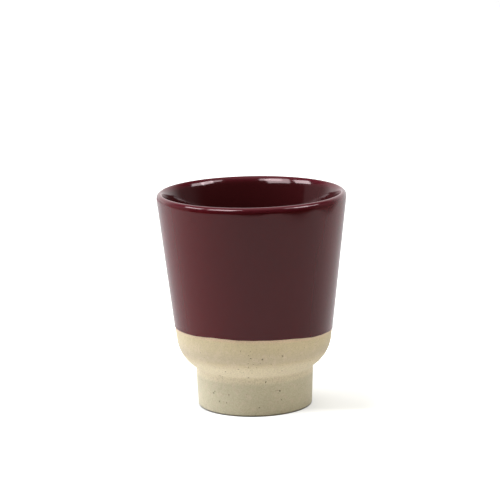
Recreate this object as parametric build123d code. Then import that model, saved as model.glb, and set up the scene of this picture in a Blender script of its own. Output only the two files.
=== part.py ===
from build123d import *
import os
from math import cos, radians, sin, sqrt, tan

# A handleless stoneware cup on a tall foot, in millimetres, +Z up.
# The origin is on the axis, in the plane that the foot rests on.
# The front is -Y. Angles are in degrees.

# Cup over all, glaze included
cup_height = 91.5
rim_radius = 40.0
wall_flare = 6.6

# Lip, and the bow below it that bends the wall inside from the lip's flare to its own, glaze included
lip_outer_width = 1.7
lip_outer_height = 2.6
lip_inner_width = 2.3
lip_inner_height = 3.6
lip_inner_flare = 18.0
inner_bow_radius = 85.0

# Bowl, bare clay
turn_radius = 15.5
inner_flare = 7.0
inner_turn_radius = 11.0
floor_thickness = 5.0

# Foot ring: how far it stands in from the wall above it, and how much it narrows to its base
foot_height = 16.0
foot_setback = 6.66
foot_taper = 0.7
foot_top_wall = 5.3
foot_base_wall = 4.0
foot_fillet = 2.1
foot_outer_edge = 1.0
foot_inner_edge = 0.7

# Glaze: its thickness, the round of its lower edge, and the tilted line that the cup was dipped to
glaze_coat = 0.25
glaze_edge = 0.12
dip_height = 33.6
dip_rise_left = 1.7
dip_rise_front = 2.8

# Weight of the middle control point that makes a Bezier curve a quarter of an ellipse
quarter_share = sqrt(1 / 2)


def up_wall(lean):
    """A unit step up a wall that leans outwards by this angle."""
    return Vector(sin(radians(lean)), cos(radians(lean)))


def to_axis(step):
    """The unit normal of a step up a wall, on the axis's side."""
    return Vector(-step.Y, step.X)


def rim_point():
    """Where the glazed wall meets the round of the lip."""
    return Vector(rim_radius, cup_height - lip_outer_height)


def foot_top():
    """The outer corner of the foot ring's seat, set back from the wall's line."""
    wall_drop = rim_point().Y - foot_height
    return Vector(rim_radius - wall_drop * tan(radians(wall_flare)) - foot_setback, foot_height)


def foot_base():
    """The outer corner of the foot ring's base, before it is rounded."""
    return Vector(foot_top().X - foot_taper, 0)


def arc(centre, start, end):
    """The short arc about a centre from start to end."""
    across = (start - centre) + (end - centre)
    middle = centre + across.normalized() * (start - centre).length
    return ThreePointArc(start, middle, end)


def lip_round(crest, wall_top, step):
    """The round of the lip, level at its crest and in line with the wall below it."""
    corner = wall_top + step * ((crest.Y - wall_top.Y) / step.Y)
    return Bezier(crest, corner, wall_top, weights=[1, quarter_share, 1])


def crest_point(coat):
    """The top of the lip, with this much glaze on the clay."""
    return Vector(rim_radius - lip_outer_width, cup_height - glaze_coat + coat)


def fillet_centre():
    """Centre of the hollow round between the foot's wall and the bowl's underside."""
    step = (foot_top() - foot_base()).normalized()
    return foot_top() - to_axis(step) * foot_fillet


def turn_centre():
    """Centre of the underside's round, which touches the wall inside and the fillet outside."""
    step = up_wall(wall_flare)
    inset = turn_radius + glaze_coat
    start = rim_point() + to_axis(step) * inset
    gap = start - fillet_centre()
    reach = turn_radius + foot_fillet
    along = gap.dot(step)
    return start - step * (along - sqrt(along**2 - gap.dot(gap) + reach**2))


def outside(coat):
    """The bowl's outside from the crest to the fillet, with this much glaze on the clay."""
    step = up_wall(wall_flare)
    inward = to_axis(step)
    wall_top = rim_point() + inward * (glaze_coat - coat)
    centre = turn_centre()
    wall_base = centre - inward * (turn_radius + coat)
    turn_end = centre + (fillet_centre() - centre).normalized() * (turn_radius + coat)
    return [
        lip_round(crest_point(coat), wall_top, step),
        Line(wall_top, wall_base),
        arc(centre, wall_base, turn_end),
    ]


def inside(coat):
    """The bowl's inside from the crest to the axis, with this much glaze on the clay."""
    lip_step, step = up_wall(lip_inner_flare), up_wall(inner_flare)
    lip_inward, inward = to_axis(lip_step), to_axis(step)
    lining_top = crest_point(glaze_coat) - Vector(lip_inner_width, lip_inner_height)
    bow_top = lining_top - lip_inward * (glaze_coat - coat)
    bow_centre = lining_top - lip_inward * inner_bow_radius
    wall_top = bow_centre + inward * (inner_bow_radius - glaze_coat + coat)
    clay_floor = foot_height + floor_thickness
    start = bow_centre + inward * (inner_bow_radius - glaze_coat + inner_turn_radius)
    centre = start - step * ((start.Y - clay_floor - inner_turn_radius) / step.Y)
    wall_base = centre - inward * (inner_turn_radius - coat)
    floor_edge = centre - Vector(0, inner_turn_radius - coat)
    return [
        lip_round(crest_point(coat), bow_top, lip_step),
        arc(bow_centre, bow_top, wall_top),
        Line(wall_top, wall_base),
        arc(centre, wall_base, floor_edge),
        Line(floor_edge, (0, floor_edge.Y)),
    ]


def turned(*edges):
    """The solid that a closed outline of radius and height makes about the axis."""
    return revolve(Plane.XZ * make_face(edges), axis=Axis.Z)


def skin(face):
    """A coat of glaze between the clay and the finished surface of one face of the bowl."""
    clay, finished = face(0), face(glaze_coat)
    ends = [Line(clay[0] @ 0, finished[0] @ 0), Line(clay[-1] @ 1, finished[-1] @ 1)]
    return turned(*clay, *finished, *ends)


def make_bowl():
    """The thrown bowl, with the flat seat of the foot ring under it."""
    outer, inner = outside(0), inside(0)
    seat_centre = Vector(0, foot_height)
    hollow = arc(fillet_centre(), outer[-1] @ 1, foot_top())
    underside = [hollow, Line(foot_top(), seat_centre)]
    return turned(*outer, *underside, Line(seat_centre, inner[-1] @ 1), *inner)


def make_foot_ring():
    """The foot ring: a short tube with a tapered wall, its resting edges rounded."""
    recess_top = foot_top() - Vector(foot_top_wall, 0)
    recess_base = foot_base() - Vector(foot_base_wall, 0)
    section = make_face(Polyline(foot_base(), foot_top(), recess_top, recess_base, close=True))
    for end, edge in ((-1, foot_outer_edge), (0, foot_inner_edge)):
        corner = section.vertices().sort_by(Axis.Y)[:2].sort_by(Axis.X)[end]
        section = fillet(corner, edge)
    return revolve(Plane.XZ * section, axis=Axis.Z)


def make_outer_glaze():
    """The dipped coat, which ends at the tilted dip line in a rounded edge."""
    rise = (tan(radians(dip_rise_left)), tan(radians(dip_rise_front)), 1)
    dip_line = Plane(origin=(0, 0, dip_height), z_dir=rise)
    coat = split(skin(outside), bisect_by=dip_line, keep=Keep.TOP)
    cut_face = coat.faces().filter_by(dip_line)[0]
    return fillet(cut_face.outer_wire().edges(), glaze_edge)


def make_liner_glaze():
    """The poured coat inside, which meets the dipped coat on the crest of the lip."""
    return skin(inside)


sub_parts = {
    "bowl": make_bowl,
    "foot_ring": make_foot_ring,
    "outer_glaze": make_outer_glaze,
    "liner_glaze": make_liner_glaze,
}

os.makedirs("parts", exist_ok=True)
for name, make in sub_parts.items():
    export_step(make(), f"parts/{name}.step")
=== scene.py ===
import random
from math import atan2, cos, hypot, pi, radians, sin, sqrt, tan

import bpy
from mathutils import Matrix, Vector
from mathutils.kdtree import KDTree


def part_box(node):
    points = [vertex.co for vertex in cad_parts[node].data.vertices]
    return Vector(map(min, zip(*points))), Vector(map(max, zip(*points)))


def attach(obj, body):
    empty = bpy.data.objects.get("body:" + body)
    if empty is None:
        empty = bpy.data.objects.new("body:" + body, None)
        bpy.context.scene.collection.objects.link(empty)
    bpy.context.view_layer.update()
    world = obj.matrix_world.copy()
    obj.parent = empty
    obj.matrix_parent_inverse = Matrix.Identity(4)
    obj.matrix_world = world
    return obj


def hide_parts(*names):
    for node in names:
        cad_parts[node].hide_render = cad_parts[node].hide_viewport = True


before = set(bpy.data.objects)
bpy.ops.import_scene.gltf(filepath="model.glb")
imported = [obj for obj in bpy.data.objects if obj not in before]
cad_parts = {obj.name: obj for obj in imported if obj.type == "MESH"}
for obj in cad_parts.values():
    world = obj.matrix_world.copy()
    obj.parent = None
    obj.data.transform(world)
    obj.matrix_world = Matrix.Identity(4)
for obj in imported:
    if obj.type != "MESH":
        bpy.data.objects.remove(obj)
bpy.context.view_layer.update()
random.seed(7)

# A handleless stoneware cup on a tall foot, in metres, +Z up, its front towards -Y.
# The dipped glaze, the poured glaze, the bowl and the foot ring are each turned from an outline.

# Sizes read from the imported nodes
cup_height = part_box("outer_glaze")[1].z
crest_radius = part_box("liner_glaze")[1].x
glaze_coat = cup_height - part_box("bowl")[1].z
clay_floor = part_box("liner_glaze")[0].z
foot_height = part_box("foot_ring")[1].z
foot_top_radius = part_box("foot_ring")[1].x

# Bowl: the wall, the lip and the rounds inside and outside. The rim is a hair inside the solid's.
rim_radius = 0.03999
wall_flare = radians(6.6)
lip_outer_height = 0.0026
lip_inner_width = 0.0023
lip_inner_height = 0.0036
lip_inner_flare = radians(18.0)
inner_bow_radius = 0.0850
turn_radius = 0.0155
inner_flare = radians(7.0)
inner_turn_radius = 0.0110

# Foot ring
foot_taper = 0.0007
foot_top_wall = 0.0053
foot_base_wall = 0.0040
foot_fillet = 0.0021
foot_outer_edge = 0.0010
foot_inner_edge = 0.0007

# Lower edge of the dipped glaze: its tilted line and its bead
dip_height = 0.03335
dip_rise_left = radians(1.7)
dip_rise_front = radians(2.8)
bead_thickness = 0.00032
bead_nose = 0.00022
bead_swell = 0.0013
bead_sink = 0.00004

# Waves of that edge: how many go round the cup, how high they are, and their phase in degrees
dip_waves = ((3, 0.00008, 0), (7, 0.00014, 200), (12, 0.00006, 75), (31, 0.00003, 200))

# Mesh: columns round the axis, the length of a face up the outline, and rows round the lip and
# the bead. Under the glaze the lip keeps one row in a few, and the fine faces of the bare wall
# begin a little above the dip line.
bowl_columns = 640
foot_columns = 480
glaze_columns = 512
bare_row = 0.00036
glaze_row = 0.0012
hidden_row = 0.0060
fewest_bend_rows = 4
bead_rows = 8
lip_rows = 28
lip_crowding = 1.5
hidden_lip_stride = 4
fine_margin = 0.0035
merge_distance = 1e-6
sharp_angle = radians(40)

# Weight of the middle control point that makes a Bezier curve a quarter of an ellipse
quarter_share = sqrt(1 / 2)

# Bare clay: where it starts and where it is wholly bare, below the dip line, off the joint of
# bowl and foot, off the table and out from the axis, and the size and depth of its sand
bare_below_dip = (0.0001, 0.0009)
bare_off_joint = (0, 0.0008)
bare_off_table = (0.0001, 0.0012)
bare_off_axis = (0.0185, 0.0200)
sand_grain = 0.0006
sand_relief = 0.00006

# Pits in the bare clay that show in the photograph, by pixel. The last three are one long pit.
pit_pixels = ((250, 358), (253, 364), (260, 363), (262, 359), (256, 367), (248, 363), (248, 367),
              (271, 364), (238, 369), (222, 376), (200, 352), (240, 351), (259, 407), (248, 355),
              (275.5, 390.4), (277.5, 390.2), (279.5, 390.4))

# Other pits all round: how many, and how low. Then each pit's size, and how its radius varies.
pits_all_round = 60
lowest_pit = 0.002
pit_radius = 0.00030
pit_spread = (0.7, 1.2)
pit_depth = 0.00018
pit_lean = pit_depth / 3

# Camera, as fitted to the photograph
camera_back = 0.97486
camera_height = 0.26480
camera_fall = radians(11.507)
camera_pan = radians(0.060)
camera_roll = radians(-1.116)
camera_lens = 169.57
camera_sensor = 36.0
photo_side = 500


def up_wall(lean):
    """A unit step up a wall that leans outwards by this angle."""
    return Vector((sin(lean), cos(lean)))


def to_axis(step):
    """The unit normal of a step up a wall, on the axis's side."""
    return Vector((-step.y, step.x))


def run(start, end, row):
    """Points after start, up to end, evenly spaced along a straight stretch."""
    count = max(1, round((end - start).length / row))
    return [start.lerp(end, n / count) for n in range(1, count + 1)]


def bend(centre, start, end, row):
    """Points after start, up to end, evenly spaced along a round stretch."""
    first, last = start - centre, end - centre
    sweep = first.angle_signed(last)
    count = max(fewest_bend_rows, round(abs(sweep) * first.length / row))
    return [centre + Matrix.Rotation(-sweep * n / count, 2) @ first for n in range(1, count + 1)]


def lip_round(crest, wall_top, step):
    """Points after the crest, down the round of the lip to the wall, closest at the crest."""
    corner = wall_top + step * ((crest.y - wall_top.y) / step.y)
    points = []
    for n in range(1, lip_rows + 1):
        t = (n / lip_rows) ** lip_crowding
        shares = ((1 - t) ** 2, 2 * t * (1 - t) * quarter_share, t ** 2)
        place = shares[0] * crest + shares[1] * corner + shares[2] * wall_top
        points.append(place / sum(shares))
    return points


# Places that more than one outline uses
wall_step = up_wall(wall_flare)
rim_point = Vector((rim_radius, cup_height - lip_outer_height))
foot_top = Vector((foot_top_radius, foot_height))
foot_base = Vector((foot_top_radius - foot_taper, 0))
foot_step = (foot_top - foot_base).normalized()
fillet_centre = foot_top - to_axis(foot_step) * foot_fillet
recess_top = Vector((foot_top.x - foot_top_wall, foot_height))


def turn_centre():
    """Centre of the underside's round, which touches the wall and the fillet over the foot."""
    start = rim_point + to_axis(wall_step) * (turn_radius + glaze_coat)
    gap = start - fillet_centre
    along = gap.dot(wall_step)
    reach = turn_radius + foot_fillet
    return start - wall_step * (along - sqrt(along**2 - gap.dot(gap) + reach**2))


def crest(coat):
    """The top of the lip, with this much glaze on the clay."""
    return Vector((crest_radius, cup_height - glaze_coat + coat))


def wall_top_point(coat):
    """Where the outer wall meets the round of the lip, with this much glaze on the clay."""
    return rim_point + to_axis(wall_step) * (glaze_coat - coat)


def wall_point(coat, height):
    """The point of the outer wall at this height, with this much glaze on the clay."""
    wall_top = wall_top_point(coat)
    return wall_top - wall_step * ((wall_top.y - height) / wall_step.y)


def inner_outline(coat, lip_stride, wall_row, turn_row, floor_row):
    """The inside from the crest to the axis, with this much glaze on the clay and one in this
    many rows of the lip kept."""
    lip_step, step = up_wall(lip_inner_flare), up_wall(inner_flare)
    lip_inward, inward = to_axis(lip_step), to_axis(step)
    lining_top = crest(glaze_coat) - Vector((lip_inner_width, lip_inner_height))
    bow_top = lining_top - lip_inward * (glaze_coat - coat)
    bow_centre = lining_top - lip_inward * inner_bow_radius
    wall_top = bow_centre + inward * (inner_bow_radius - glaze_coat + coat)
    start = bow_centre + inward * (inner_bow_radius + inner_turn_radius - glaze_coat)
    centre = start - step * ((start.y - clay_floor - inner_turn_radius) / step.y)
    wall_base = centre - inward * (inner_turn_radius - coat)
    floor_edge = centre - Vector((0, inner_turn_radius - coat))
    lip = lip_round(crest(coat), bow_top, lip_step)
    points = [crest(coat)] + lip[lip_stride - 1::lip_stride]
    points += bend(bow_centre, bow_top, wall_top, wall_row)
    points += run(wall_top, wall_base, wall_row)
    points += bend(centre, wall_base, floor_edge, turn_row)
    return points + run(floor_edge, Vector((0, floor_edge.y)), floor_row)


def outer_lip(coat, lip_stride):
    """The outside from the crest to the top of the wall, with this much glaze on the clay and
    one in this many rows kept."""
    lip = lip_round(crest(coat), wall_top_point(coat), wall_step)
    return [crest(coat)] + lip[lip_stride - 1::lip_stride]


def bead():
    """The dipped glaze's lower edge: the coat swells a little, then rounds in to the clay."""
    outward = -to_axis(wall_step)
    toe = wall_point(0, dip_height)
    points = []
    for n in range(bead_rows):
        rise = 1 - n / bead_rows
        swell = glaze_coat + (bead_thickness - glaze_coat) * sin(pi * (1 - rise) / 2) ** 2
        points.append(toe + wall_step * (bead_nose + bead_swell * rise) + outward * swell)
    for n in range(bead_rows + 1):
        turn = n / bead_rows * pi / 2
        across = -bead_sink + (bead_thickness + bead_sink) * cos(turn)
        points.append(toe + wall_step * (bead_nose * (1 - sin(turn))) + outward * across)
    return points


def outer_glaze_outline():
    """The dipped coat: over the lip, down the wall, round the bead and back up the clay."""
    outside = outer_lip(glaze_coat, 1)
    edge = bead()
    outside += run(outside[-1], edge[0], glaze_row)[:-1] + edge
    clay = outer_lip(0, hidden_lip_stride)
    return outside + run(outside[-1], clay[-1], hidden_row)[:-1] + clay[::-1] + outside[:1]


def liner_glaze_outline():
    """The poured coat: over the lip, down the inside, across the floor and back on the clay."""
    finished = inner_outline(glaze_coat, 1, glaze_row, glaze_row / 2, glaze_row)
    clay = inner_outline(0, hidden_lip_stride, hidden_row, glaze_row, hidden_row)
    return finished + clay[::-1] + finished[:1]


def bowl_outline():
    """The bowl's clay: fine faces where it is bare, coarse ones under the glaze."""
    centre = turn_centre()
    wall_base = centre - to_axis(wall_step) * turn_radius
    turn_end = centre + (fillet_centre - centre).normalized() * turn_radius
    bare_top = wall_point(0, dip_height + fine_margin)
    points = outer_lip(0, hidden_lip_stride)
    points += run(points[-1], bare_top, hidden_row)
    points += run(bare_top, wall_base, bare_row)
    points += bend(centre, wall_base, turn_end, bare_row)
    points += bend(fillet_centre, turn_end, foot_top, bare_row)
    points += run(foot_top, recess_top, hidden_row)
    points += run(recess_top, Vector((0, foot_height)), glaze_row)
    return points + inner_outline(0, hidden_lip_stride, hidden_row, glaze_row, hidden_row)[::-1]


def rounded(corner, before, after, radius, row):
    """Points that round a corner between two straight stretches."""
    back, ahead = (before - corner).normalized(), (after - corner).normalized()
    half = back.angle(ahead) / 2
    start, end = corner + back * (radius / tan(half)), corner + ahead * (radius / tan(half))
    centre = corner + (back + ahead).normalized() * (radius / sin(half))
    return [start] + bend(centre, start, end, row)


def foot_outline():
    """The foot ring's section, from its outer top corner down and round to it again."""
    recess_base = Vector((foot_base.x - foot_base_wall, 0))
    outer_edge = rounded(foot_base, foot_top, recess_base, foot_outer_edge, bare_row / 2)
    inner_edge = rounded(recess_base, foot_base, recess_top, foot_inner_edge, bare_row / 2)
    points = [foot_top] + run(foot_top, outer_edge[0], bare_row) + outer_edge[1:]
    points += run(outer_edge[-1], inner_edge[0], bare_row) + inner_edge[1:]
    points += run(inner_edge[-1], recess_top, bare_row * 2)
    return points + run(recess_top, foot_top, hidden_row)


def turned(name, outline, columns):
    """A piece turned about the axis: a point is drawn out along the outline and turned."""
    bpy.ops.object.select_all(action="DESELECT")
    first = Vector((outline[0].x, 0, outline[0].y))
    bpy.ops.mesh.primitive_plane_add(size=glaze_coat, location=first)
    piece = bpy.context.object
    piece.name = piece.data.name = name
    bpy.ops.object.transform_apply(location=True, rotation=False, scale=False)
    bpy.ops.object.mode_set(mode="EDIT")
    bpy.ops.mesh.merge(type="CENTER")
    for start, end in zip(outline, outline[1:]):
        step = (end.x - start.x, 0, end.y - start.y)
        bpy.ops.mesh.extrude_vertices_move(TRANSFORM_OT_translate={"value": step})
    bpy.ops.object.mode_set(mode="OBJECT")
    lathe = piece.modifiers.new("lathe", "SCREW")
    lathe.angle = 2 * pi
    lathe.steps = lathe.render_steps = columns
    bpy.ops.object.modifier_apply(modifier=lathe.name)
    bpy.ops.object.mode_set(mode="EDIT")
    bpy.ops.mesh.select_all(action="SELECT")
    bpy.ops.mesh.remove_doubles(threshold=merge_distance)
    bpy.ops.mesh.normals_make_consistent(inside=False)
    bpy.ops.object.mode_set(mode="OBJECT")
    bpy.ops.object.shade_smooth_by_angle(angle=sharp_angle)
    return piece


def dip_edge(x, y):
    """Height of the dipped glaze's lower edge on this side of the cup."""
    around = atan2(y, x)
    lean = tan(dip_rise_left) * cos(around) + tan(dip_rise_front) * sin(around)
    height = dip_height - wall_point(0, dip_height).x * lean / (1 + tan(wall_flare) * lean)
    waves = [size * sin(count * around + radians(phase)) for count, size, phase in dip_waves]
    return height + sum(waves)


def hang_glaze(piece):
    """Draws the coat up or down the wall, so that its edge follows the dip line."""
    for vertex in piece.data.vertices:
        x, y, z = vertex.co
        share = max(0, (rim_point.y - z) / (rim_point.y - dip_height))
        rise = share * (dip_edge(x, y) - dip_height)
        wider = 1 + rise * tan(wall_flare) / hypot(x, y)
        vertex.co = (x * wider, y * wider, z + rise)


def ease(value, low, high):
    """0 below low, 1 above high, and a smooth rise between them."""
    share = min(1, max(0, (value - low) / (high - low)))
    return share * share * (3 - 2 * share)


def bare_weight(place):
    """How bare the clay is here: 0 under the glaze, at the joint and on the resting face."""
    x, y, z = place
    below_dip = ease(dip_edge(x, y) - z, *bare_below_dip)
    off_joint = ease(abs(z - foot_height), *bare_off_joint)
    off_table = ease(z, *bare_off_table)
    off_axis = ease(hypot(x, y), *bare_off_axis)
    return below_dip * off_joint * off_table * off_axis


def roughen(piece):
    """Moves the bare clay in and out by a fine noise, as sand in the clay does."""
    group = piece.vertex_groups.new(name="bare")
    for vertex in piece.data.vertices:
        group.add([vertex.index], bare_weight(vertex.co), "REPLACE")
    texture = bpy.data.textures.new(f"{piece.name}_clouds", "CLOUDS")
    texture.noise_scale = sand_grain
    bpy.ops.object.select_all(action="DESELECT")
    bpy.context.view_layer.objects.active = piece
    piece.select_set(True)
    sand = piece.modifiers.new("sand", "DISPLACE")
    sand.texture = texture
    sand.texture_coords = "LOCAL"
    sand.strength = sand_relief
    sand.vertex_group = group.name
    bpy.ops.object.modifier_apply(modifier=sand.name)


def sight_line(column, row):
    """Where the camera stands, and the way it looks through a pixel of the photograph."""
    view = bpy.context.scene.camera.matrix_world
    pixel = camera_sensor / camera_lens / photo_side
    middle = photo_side / 2
    way = Vector(((column + 0.5 - middle) * pixel, (middle - row - 0.5) * pixel, -1))
    return view.translation, view.to_3x3() @ way


def pit_places(pieces):
    """Each piece's pits: those in the photograph, then others all round on the bare clay."""
    lines = [sight_line(*pixel) for pixel in pit_pixels]
    for _ in range(pits_all_round):
        around = random.uniform(-pi, pi)
        outward = Vector((cos(around), sin(around), 0))
        height = Vector((0, 0, random.uniform(lowest_pit, dip_height)))
        lines.append((outward * crest_radius * 2 + height, -outward))
    places = {piece: [] for piece in pieces}
    for start, way in lines:
        hits = []
        for piece in pieces:
            found, place, _, _ = piece.ray_cast(start, way)
            if found:
                hits.append(((place - start).length, piece, place))
        _, piece, place = min(hits, key=lambda hit: hit[0])
        if bare_weight(place) > 0.5:
            places[piece].append(place)
    return places


def open_pits(pieces):
    """Sinks small open pits into the bare clay, and marks them for its finish."""
    bpy.context.view_layer.update()
    for piece, places in pit_places(pieces).items():
        middles = KDTree(len(piece.data.polygons))
        for face in piece.data.polygons:
            middles.insert(face.center, face.index)
        middles.balance()
        bpy.ops.object.select_all(action="DESELECT")
        bpy.context.view_layer.objects.active = piece
        piece.select_set(True)
        bpy.ops.object.mode_set(mode="EDIT")
        bpy.ops.mesh.select_mode(type="FACE")
        bpy.ops.mesh.select_all(action="DESELECT")
        bpy.ops.object.mode_set(mode="OBJECT")
        for place in places:
            radius = pit_radius * random.uniform(*pit_spread)
            near = [face for _, face, _ in middles.find_range(place, radius)]
            for face in near or [middles.find(place)[1]]:
                piece.data.polygons[face].select = True
        bpy.ops.object.mode_set(mode="EDIT")
        bpy.ops.mesh.inset(thickness=pit_lean, depth=-pit_depth, use_individual=False)
        bpy.ops.object.mode_set(mode="OBJECT")
        marks = piece.data.attributes.new("pit", "FLOAT", "POINT")
        for face in piece.data.polygons:
            if face.select:
                for corner in face.vertices:
                    marks.data[corner].value = 1


class Value:
    """A number or colour on its way through a shader. Sums and products of it add Math nodes."""

    def __init__(self, finish, socket):
        self.finish = finish
        self.socket = socket

    def math(self, operation, first, second):
        return self.finish.node("ShaderNodeMath", {"operation": operation}, {0: first, 1: second})

    def __add__(self, other):
        return self.math("ADD", self, other)

    def __radd__(self, other):
        return self.math("ADD", other, self)

    def __sub__(self, other):
        return self.math("SUBTRACT", self, other)

    def __rsub__(self, other):
        return self.math("SUBTRACT", other, self)

    def __mul__(self, other):
        return self.math("MULTIPLY", self, other)

    def __rmul__(self, other):
        return self.math("MULTIPLY", other, self)


class Finish:
    """The node tree of a material or of the world, with one method that makes its nodes."""

    def __init__(self, owner):
        owner.use_nodes = True
        self.owner = owner
        self.tree = owner.node_tree
        self.tree.nodes.clear()

    def node(self, kind, settings=None, inputs=None, output=0):
        """Adds a node, sets it, then fills or links its sockets. Returns one of its outputs."""
        node = self.tree.nodes.new(kind)
        for name, setting in (settings or {}).items():
            setattr(node, name, setting)
        for name, value in (inputs or {}).items():
            if isinstance(value, Value):
                self.tree.links.new(value.socket, node.inputs[name])
            else:
                node.inputs[name].default_value = value
        return Value(self, node.outputs[output]) if len(node.outputs) else None

    def blend(self, share, first, second):
        """A colour between two colours."""
        return self.node("ShaderNodeMix", {"data_type": "RGBA"}, {0: share, 6: first, 7: second}, 2)

    def smooth(self, value, low, high):
        """0 where a value is at low, 1 where it is at high, and a smooth change between."""
        settings = {"interpolation_type": "SMOOTHSTEP"}
        return self.node("ShaderNodeMapRange", settings, {0: value, 1: low, 2: high})

    def place(self):
        """The point of the surface, in metres."""
        return self.node("ShaderNodeTexCoord", output="Object")

    def along(self, axis, place=None):
        """How far the point of the surface, or another place, is along this axis."""
        return self.node("ShaderNodeSeparateXYZ", None, {0: place or self.place()}, axis)

    def noise(self, size, detail=2.0, roughness=0.5):
        """A cloudy number between 0 and 1 whose features are about this size."""
        inputs = {
            "Vector": self.place(),
            "Scale": 1 / size,
            "Detail": detail,
            "Roughness": roughness,
        }
        return self.node("ShaderNodeTexNoise", None, inputs, "Fac")

    def dots(self, spacing, radius, share, strength):
        """This strength in small round dots, one in this share of the cells of this spacing, and
        0 elsewhere."""
        inputs = {"Vector": self.place(), "Scale": 1 / spacing}
        distance = self.node("ShaderNodeTexVoronoi", None, inputs, "Distance")
        cell = self.node("ShaderNodeTexVoronoi", None, inputs, "Color")
        chance = self.node("ShaderNodeSeparateColor", None, {0: cell})
        empty, step, edge = 1 - share, 0.01, radius / spacing
        chosen = self.smooth(chance, empty, empty + step)
        return chosen * (1 - self.smooth(distance, edge / 2, edge)) * strength

    def bump(self, height, depth):
        """The normal of a surface with this relief."""
        inputs = {"Height": height, "Distance": depth, "Strength": 1.0}
        return self.node("ShaderNodeBump", None, inputs)

    def surface(self, inputs):
        """Joins a surface shader with these sockets to the output."""
        shader = self.node("ShaderNodeBsdfPrincipled", None, inputs, "BSDF")
        self.node("ShaderNodeOutputMaterial", None, {"Surface": shader})
        return self.owner


def colour(red, green, blue):
    """A linear colour with no transparency."""
    return (red, green, blue, 1)


# Glaze: the two tones that cloud each coat, and the tint of what the glaze mirrors
dipped_deep = colour(0.040, 0.0032, 0.0036)
dipped_light = colour(0.045, 0.0037, 0.0042)
poured_deep = colour(0.040, 0.0054, 0.0064)
poured_light = colour(0.047, 0.0062, 0.0074)
mirror_tint = colour(1.0, 0.68, 0.70)

# Glaze: the sizes of its clouds, its smudges and its ripple, and its roughness, clean and as much
# more as a smudge adds
glaze_cloud = 0.014
glaze_smudge = 0.004
glaze_ripple = 0.007
glaze_ripple_depth = 0.00001
glaze_roughness = 0.07
smudge_roughness = 0.03

# Glaze: how far out to the left and the right the red of the painted side light starts and is
# whole, and how far below the crest the thin glaze of the lip does
# Painted light: this red makes the glaze's left and right sides look more lit
painted_side_red = colour(0.088, 0.0048, 0.0062)
painted_side_left = (-0.005, 0.045)
painted_side_right = (0.024, 0.040)
thin_red = colour(0.082, 0.0092, 0.0150)
thin_start = 0.0028
thin_whole = 0.0004


def burgundy_glaze(name, deep, light, painted_side_share):
    """Glossy wine-red glaze with a slow ripple that bends reflections. It is deep and even, redder
    where it runs thin over the lip and, by the share given, at its sides, where light is painted
    red."""
    finish = Finish(bpy.data.materials.new(name))
    across, up = finish.along("X"), finish.along("Z")
    # Painted light: redder towards the left and right sides
    painted_side = finish.smooth(-1 * across, *painted_side_left) + finish.smooth(across, *painted_side_right)
    thin = finish.smooth(up, cup_height - thin_start, cup_height - thin_whole)
    body = finish.blend(finish.noise(glaze_cloud, detail=3.0), deep, light)
    body = finish.blend(painted_side * painted_side_share, body, painted_side_red)
    body = finish.blend(thin, body, thin_red)
    smudges, ripple = finish.noise(glaze_smudge), finish.noise(glaze_ripple, detail=1.0)
    return finish.surface({
        "Base Color": body,
        "Roughness": glaze_roughness + smudges * smudge_roughness,
        "IOR": 1.5,
        "Specular Tint": mirror_tint,
        "Normal": finish.bump(ripple, glaze_ripple_depth),
    })


# Bare clay: the two tones that cloud it, and how far from the joint of bowl and foot the painted
# light that makes it paler starts to fade and ends
bowl_pale = colour(0.61, 0.505, 0.32)
bowl_deep = colour(0.53, 0.435, 0.27)
bowl_underlight = (0.0050, 0.0082)
foot_pale = colour(0.56, 0.50, 0.34)
foot_deep = colour(0.50, 0.45, 0.305)
foot_underlight = (0.0009, 0.0030)
clay_cloud = 0.009

# Bare clay: the colour of each layer over its two tones, from the first to the last, and how
# strong it is at most
# Painted shade: a greyer band where the wall turns under, above the joint
shade_band_grey = colour(0.46, 0.38, 0.27)
# Painted light: a paler cream over the joint, for light thrown up from the table
underlight_cream, underlight_strength = colour(0.67, 0.58, 0.40), 0.95
patch_buff, patch_strength = colour(0.66, 0.53, 0.40), 0.35
toast_ochre, toast_strength = colour(0.56, 0.46, 0.26), 0.7
flush_pink, flush_strength = colour(0.74, 0.50, 0.36), 0.6
# Painted shade: black on the foot's lower edge, where it meets the table
contact_shade_black, contact_shade_strength = colour(0.07, 0.06, 0.035), 0.9
sand_brown, sand_strength = colour(0.36, 0.29, 0.19), 0.55
iron_brown = colour(0.12, 0.09, 0.06)
# Painted shade: a dark brown in the pits, where shade falls
pit_shade_brown, pit_shade_strength = colour(0.08, 0.06, 0.04), 0.8

# Bare clay: where the band of painted shade starts and ends off the joint, how far toast and flush
# reach below the dip line, and how far up the foot the painted contact shade reaches
shade_band_start = (0.0068, 0.0090)
shade_band_end = (0.0100, 0.0150)
toast_reach = 0.0090
flush_reach = 0.0020
contact_shade_reach = (0.0002, 0.0008)

# Bare clay: patches and sand grains, each with where in its noise it starts and is whole, then
# the iron specks, the relief of the surface, and its roughness and what the grain adds to that
patch_size = 0.0024
patch_edge = (0.48, 0.66)
grain_size = 0.0006
grain_edge = (0.35, 0.75)
large_specks = {"spacing": 0.0016, "radius": 0.00030, "share": 0.09, "strength": 0.5}
small_specks = {"spacing": 0.0009, "radius": 0.00022, "share": 0.16, "strength": 0.35}
fine_relief = 0.0004
slow_relief = 0.0012
relief_depth = 0.00005
clay_roughness = 0.70
grain_roughness = 0.20


def below_dip_line(finish):
    """Distance below the dipped glaze's edge, in metres."""
    tilt = (tan(dip_rise_left), tan(dip_rise_front), 1)
    inputs = {0: finish.place(), 1: tilt}
    height = finish.node("ShaderNodeVectorMath", {"operation": "DOT_PRODUCT"}, inputs, "Value")
    return dip_height - height


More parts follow.
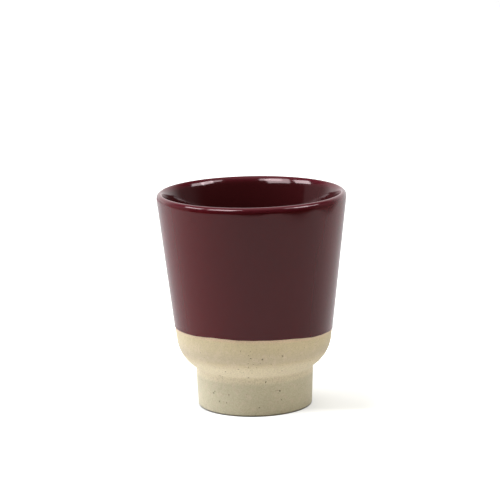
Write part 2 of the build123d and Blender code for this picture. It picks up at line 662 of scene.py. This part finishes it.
def raw_stoneware(name, pale, deep, underlight_reach, shade_band_share):
    """Bare sandy stoneware: cloudy, grainy, flecked with iron and pink under the glaze. Painted
    light makes it paler over the joint of bowl and foot, painted shade makes it greyer by the share
    given above that, and painted shade darkens its base and its pits."""
    finish = Finish(bpy.data.materials.new(name))
    up = finish.along("Z")
    off_joint = finish.node("ShaderNodeMath", {"operation": "ABSOLUTE"}, {0: up - foot_height})
    below = below_dip_line(finish)
    grain = finish.noise(grain_size, detail=3.0, roughness=0.7)
    sand = finish.smooth(grain, *grain_edge)
    # Painted shade: a greyer band above the joint
    shade_band = finish.smooth(off_joint, *shade_band_start) * (1 - finish.smooth(off_joint, *shade_band_end))
    # Painted light: paler over the joint of bowl and foot
    underlight = 1 - finish.smooth(off_joint, *underlight_reach)
    patches = finish.smooth(finish.noise(patch_size, roughness=0.6), *patch_edge)
    toast = 1 - finish.smooth(below, 0, toast_reach)
    flush = 1 - finish.smooth(below, 0, flush_reach)
    # Painted shade: darker at the base of the foot
    contact_shade = 1 - finish.smooth(up, *contact_shade_reach)
    specks = finish.dots(**large_specks) + finish.dots(**small_specks)
    # Painted shade: the pits are darkened
    pits = finish.node("ShaderNodeAttribute", {"attribute_name": "pit"}, None, "Fac")
    layers = ((shade_band * shade_band_share, shade_band_grey),
              (underlight * underlight_strength, underlight_cream),
              (patches * patch_strength, patch_buff),
              (toast * toast_strength, toast_ochre),
              (flush * flush_strength, flush_pink),
              (contact_shade * contact_shade_strength, contact_shade_black),
              (sand * sand_strength, sand_brown),
              (specks, iron_brown),
              (pits * pit_shade_strength, pit_shade_brown))
    body = finish.blend(finish.noise(clay_cloud, detail=3.0), pale, deep)
    for share, tone in layers:
        body = finish.blend(share, body, tone)
    relief = finish.noise(fine_relief, roughness=0.6) + finish.noise(slow_relief)
    return finish.surface({
        "Base Color": body,
        "Roughness": clay_roughness + grain * grain_roughness,
        "Specular IOR Level": 0.4,
        "Sheen Weight": 0.15,
        "Sheen Roughness": 0.5,
        "Normal": finish.bump(relief, relief_depth),
    })


def dress(piece, node, material):
    """Puts a finished piece in the place of its node."""
    piece.data.materials.append(material)
    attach(piece, "root")
    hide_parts(node)


def camera():
    """The photograph's view: from the front and a little above."""
    lens = bpy.data.cameras.new("camera")
    lens.lens = camera_lens
    lens.sensor_width = camera_sensor
    view = bpy.data.objects.new("camera", lens)
    place = Matrix.Translation((0, -camera_back, camera_height))
    aim = Matrix.Rotation(pi / 2 - camera_fall, 4, "X") @ Matrix.Rotation(camera_pan, 4, "Y")
    view.matrix_world = place @ aim @ Matrix.Rotation(camera_roll, 4, "Z")
    bpy.context.scene.collection.objects.link(view)
    bpy.context.scene.camera = view


# Lamps: each one's name, its angle from the front round to the right and its angle up, its width,
# height and roll, all in degrees, its light, its tint, and whether the glaze mirrors it
lamp_distance = 1.2
sky, cool, warm = (0.95, 1.10, 1.12), (0.95, 1.0, 1.10), (1.03, 1.0, 0.92)
softboxes = (("window_left", -44, 44, 28.5, 22, 4, 8.5, sky, True),
             ("window_left_top", -41.5, 48.5, 14, 13, 4, 7.5, sky, True),
             ("window_left_front", -23, 49.5, 12, 11, 16, 8.0, sky, True),
             ("window_far_left", -84, 37, 22, 14, 12, 12.0, sky, True),
             ("window_right", 87, 35, 18, 11, -18, 7.5, sky, True),
             ("window_right_middle", 73, 41, 15, 15, -35, 11.5, sky, True),
             ("window_right_front", 60.5, 47.5, 14, 9, -15, 7.5, sky, True),
             ("lamp_left", -92, 38, 40, 50, 0, 4.0, cool, False),
             ("lamp_left_behind", -130, 38, 34, 50, 0, 3.1, cool, False),
             ("lamp_right_front", 35, 40, 36, 45, 0, 0.7, warm, False),
             ("lamp_right", 65, 38, 34, 50, 0, 0.7, warm, False),
             ("lamp_right_low", 97, 8, 36, 14, 0, 2.3, cool, False),
             ("lamp_overhead", 0, 89, 50, 50, 0, 3.7, warm, False))

# Table: its size, how far it is below the foot, and its straight edges, each at an angle from the
# front round to the right and at a distance from the axis
table_size = 6.0
table_drop = 0.00002
table_edges = ((-50, 0.28), (0, 0.25), (50, 0.25), (90, 0.28))

# Paper: as light falls on it, as the glaze mirrors it, and as the camera sees it in shadow
paper_white = colour(0.90, 0.90, 0.89)
paper_mirrored = colour(0.49, 0.49, 0.49)
paper_shaded = colour(0.45, 0.45, 0.43)

# Shadow on the paper: how far from the axis the one under the foot fades out, and the soft one,
# how far in front of the axis the soft one fades out as well, and how deep it is
foot_shadow = (0.0237, 0.0245)
soft_shadow = (0.045, 0.080)
soft_shadow_front = (0.010, 0.030)
soft_shadow_depth = 0.52

# Room: where each panel starts and is whole along the direction from the cup, and its light.
# The two at the sides fade out upwards, and in front there is only a little light.
behind_span, behind_light = (0.35, 0.85), 1.2
overhead_span, overhead_light = (0.74, 0.95), 0.7
left_span, left_back, left_light = (0.55, 0.70), (-0.20, -0.12), 0.4
right_span, right_back, right_light = (0.55, 0.85), (-0.35, 0.10), 0.2
sides_top = (0.42, 0.50)
front_light = 0.01


def softbox(name, around, rise, wide, tall, roll, radiance, tint, mirrored):
    """A soft lamp that faces the cup, as large as these angles seen from there. The glaze mirrors
    the windows, and the other lamps light the clay and the colour of the glaze."""
    lamp = bpy.data.lights.new(name, "AREA")
    lamp.shape = "RECTANGLE"
    lamp.size = 2 * lamp_distance * tan(radians(wide) / 2)
    lamp.size_y = 2 * lamp_distance * tan(radians(tall) / 2)
    lamp.energy = radiance * lamp.size * lamp.size_y * pi
    lamp.color = tint
    box = bpy.data.objects.new(name, lamp)
    around, rise = radians(around), radians(rise)
    away = Vector((sin(around) * cos(rise), -cos(around) * cos(rise), sin(rise)))
    aim = away.to_track_quat("Z", "Y").to_matrix() @ Matrix.Rotation(radians(roll), 3, "Z")
    box.location = away * lamp_distance + Vector((0, 0, cup_height))
    box.rotation_euler = aim.to_euler()
    box.visible_glossy = mirrored
    box.visible_diffuse = not mirrored
    bpy.context.scene.collection.objects.link(box)


def table_paper():
    """White paper. The camera sees it fade to pure white in front of the cup and away from its
    soft shadow."""
    finish = Finish(bpy.data.materials.new("table_white"))
    seen = finish.node("ShaderNodeLightPath", output="Is Camera Ray")
    mirrored = finish.node("ShaderNodeLightPath", output="Is Glossy Ray")
    paper = finish.blend(mirrored, paper_white, paper_mirrored)
    plain = finish.node("ShaderNodeBsdfDiffuse", None, {"Color": paper})
    place = {0: finish.place()}
    off_axis = finish.node("ShaderNodeVectorMath", {"operation": "LENGTH"}, place, "Value")
    in_front = finish.smooth(-1 * finish.along("Y"), *soft_shadow_front)
    shade = (1 - finish.smooth(off_axis, *soft_shadow)) * (1 - in_front)
    lift = finish.smooth(off_axis, *foot_shadow) * (1.0 - soft_shadow_depth * shade)
    shadowed = finish.node("ShaderNodeBsdfDiffuse", None, {"Color": paper_shaded})
    white = {"Color": colour(1, 1, 1), "Strength": lift}
    glow = finish.node("ShaderNodeEmission", None, white)
    lifted = finish.node("ShaderNodeAddShader", None, {0: shadowed, 1: glow})
    shown = finish.node("ShaderNodeMixShader", None, {0: seen, 1: plain, 2: lifted})
    finish.node("ShaderNodeOutputMaterial", None, {"Surface": shown})
    return finish.owner


def room():
    """White behind and overhead, grey at the left and right, and dark on the camera's side."""
    world = bpy.data.worlds.new("studio")
    bpy.context.scene.world = world
    air = Finish(world)
    way = air.node("ShaderNodeTexCoord", output="Generated")
    x, y, z = air.along("X", way), air.along("Y", way), air.along("Z", way)
    behind = air.smooth(y, *behind_span) * behind_light
    overhead = air.smooth(z, *overhead_span) * overhead_light
    left = air.smooth(-1 * x, *left_span) * air.smooth(y, *left_back) * left_light
    right = air.smooth(x, *right_span) * air.smooth(y, *right_back) * right_light
    sides = (left + right) * (1 - air.smooth(z, *sides_top))
    light = front_light + behind + overhead + sides
    seen = air.node("ShaderNodeLightPath", output="Is Camera Ray")
    white = {"Color": colour(1, 1, 1), "Strength": light * (1 - seen) + seen}
    shader = air.node("ShaderNodeBackground", None, white)
    air.node("ShaderNodeOutputWorld", None, {"Surface": shader})


def studio():
    """A pale table that ends in front of the cup, a room round it and the soft lamps."""
    bpy.ops.object.select_all(action="DESELECT")
    bpy.ops.mesh.primitive_plane_add(size=table_size, location=(0, 0, -table_drop))
    table = bpy.context.object
    table.name = "table"
    bpy.ops.object.transform_apply(location=True, rotation=False, scale=False)
    bpy.ops.object.mode_set(mode="EDIT")
    for around, reach in table_edges:
        outward = Vector((sin(radians(around)), -cos(radians(around)), 0))
        bpy.ops.mesh.select_all(action="SELECT")
        bpy.ops.mesh.bisect(plane_co=outward * reach, plane_no=outward, clear_outer=True)
    bpy.ops.object.mode_set(mode="OBJECT")
    table.data.materials.append(table_paper())
    room()
    for box in softboxes:
        softbox(*box)


camera()
studio()

outer = turned("outer_glaze_coat", outer_glaze_outline(), glaze_columns)
hang_glaze(outer)
dipped = burgundy_glaze("wine_red_dipped", dipped_deep, dipped_light, painted_side_share=1)
dress(outer, "outer_glaze", dipped)

liner = turned("liner_glaze_coat", liner_glaze_outline(), glaze_columns)
poured = burgundy_glaze("wine_red_poured", poured_deep, poured_light, painted_side_share=0)
dress(liner, "liner_glaze", poured)

bowl = turned("bowl_clay", bowl_outline(), bowl_columns)
foot = turned("foot_ring_clay", foot_outline(), foot_columns)
for clay in (bowl, foot):
    roughen(clay)
open_pits((bowl, foot))
sandy = raw_stoneware("sandy_stoneware", bowl_pale, bowl_deep, bowl_underlight, shade_band_share=0.5)
dress(bowl, "bowl", sandy)
greyer = raw_stoneware("grey_stoneware", foot_pale, foot_deep, foot_underlight, shade_band_share=0)
dress(foot, "foot_ring", greyer)

bpy.context.scene.view_settings.view_transform = "Standard"
